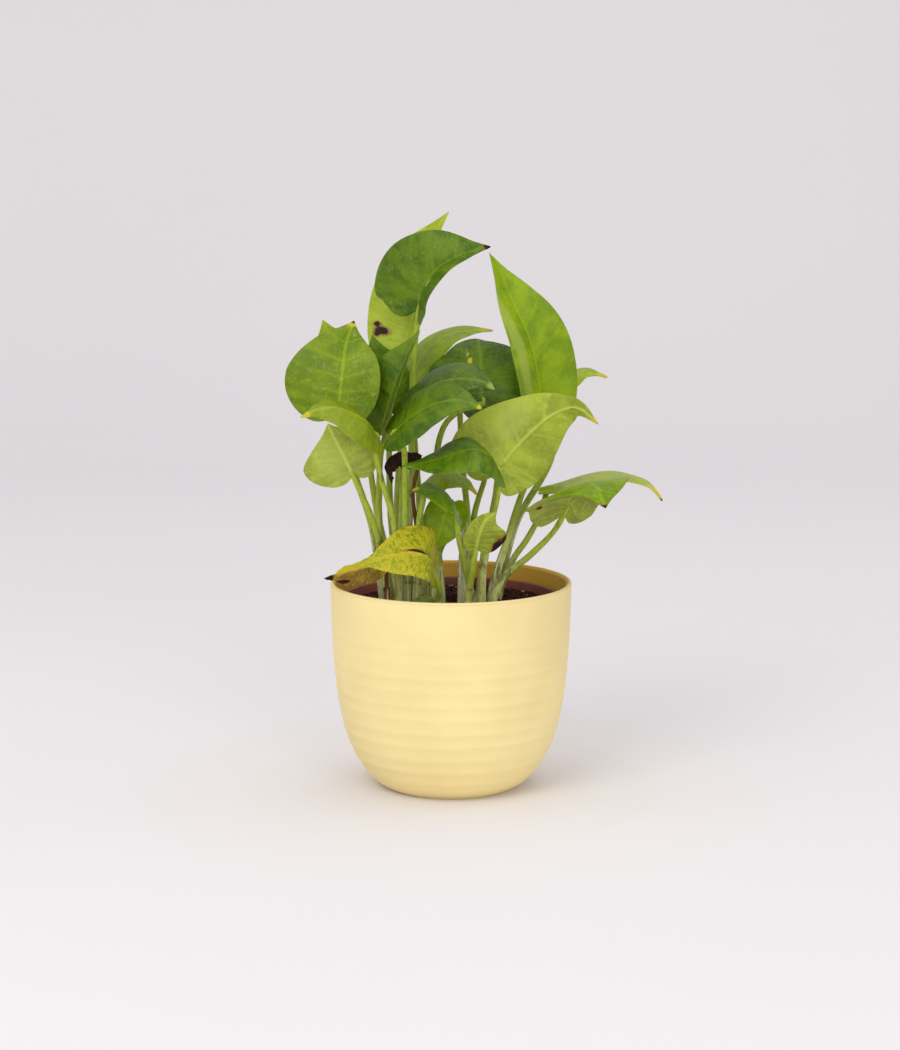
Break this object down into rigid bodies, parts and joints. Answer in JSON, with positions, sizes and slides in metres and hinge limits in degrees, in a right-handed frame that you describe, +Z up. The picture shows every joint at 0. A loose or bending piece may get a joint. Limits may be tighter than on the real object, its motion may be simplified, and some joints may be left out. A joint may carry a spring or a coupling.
{
  "type": "potted pothos",
  "caption": "Leafy golden pothos (money plant) growing in a brown grow pot that stands inside a round, finely ribbed pale yellow planter.",
  "frame": {"origin": "middle of the planter's flat foot, on the surface it stands on", "axes": "+Z up along the planter's turned axis, +X to the right and -Y towards the viewer of the plant's best side"},
  "size_m": [0.2, 0.1441, 0.3081],
  "materials": {
    "planter_plastic": "matte",
    "grow_pot_plastic": "satin",
    "potting_mix": "matte",
    "deep_leaf": "satin",
    "mid_leaf": "satin",
    "lime_leaf": "satin",
    "pale_leaf": "satin",
    "yellow_leaf": "satin",
    "dead_leaf": "matte",
    "dry_brown": "matte",
    "leaf_stalk": "satin",
    "vine_stem": "satin",
    "dry_sheath": "matte"
  },
  "bodies": {
    "root": {"planter": "planter_plastic", "grow_pot": "grow_pot_plastic", "leaf_crown": "deep_leaf", "stalk_crown": "leaf_stalk", "leaf_crown_back": "pale_leaf", "stalk_crown_back": "leaf_stalk", "leaf_tall_right": "mid_leaf", "stalk_tall_right": "leaf_stalk", "leaf_broad_right": "mid_leaf", "stalk_broad_right": "leaf_stalk", "leaf_front_centre": "deep_leaf", "stalk_front_centre": "leaf_stalk", "leaf_narrow_left": "deep_leaf", "stalk_narrow_left": "leaf_stalk", "leaf_big_left": "mid_leaf", "stalk_big_left": "leaf_stalk", "leaf_lime_left": "lime_leaf", "stalk_lime_left": "leaf_stalk", "leaf_low_left": "pale_leaf", "stalk_low_left": "leaf_stalk", "leaf_arch_back": "lime_leaf", "stalk_arch_back": "leaf_stalk", "leaf_round_centre": "deep_leaf", "stalk_round_centre": "leaf_stalk", "leaf_speckled_centre": "deep_leaf", "stalk_speckled_centre": "leaf_stalk", "leaf_dark_centre": "deep_leaf", "stalk_dark_centre": "leaf_stalk", "leaf_cupped_centre": "lime_leaf", "stalk_cupped_centre": "leaf_stalk", "leaf_saddle_low": "deep_leaf", "stalk_saddle_low": "leaf_stalk", "leaf_scorched_low": "mid_leaf", "stalk_scorched_low": "leaf_stalk", "leaf_olive_low": "mid_leaf", "stalk_olive_low": "leaf_stalk", "leaf_yellow_front": "yellow_leaf", "stalk_yellow_front": "leaf_stalk", "leaf_low_right": "mid_leaf", "stalk_low_right": "leaf_stalk", "leaf_trailing_right": "pale_leaf", "stalk_trailing_right": "leaf_stalk", "leaf_back_right": "lime_leaf", "stalk_back_right": "leaf_stalk", "leaf_back_left": "pale_leaf", "stalk_back_left": "leaf_stalk", "leaf_shade_left": "deep_leaf", "stalk_shade_left": "leaf_stalk", "leaf_hidden_back": "deep_leaf", "stalk_hidden_back": "leaf_stalk", "leaf_dead_front": "dead_leaf", "stalk_dead_front": "dry_brown", "leaf_shrivelled": "dry_brown", "stalk_shrivelled": "dry_brown", "leaf_low_back": "lime_leaf", "stalk_low_back": "leaf_stalk", "vine_stub": "vine_stem", "pale_sheath": "dry_sheath", "soil": "potting_mix"}
  },
  "joints": []
}
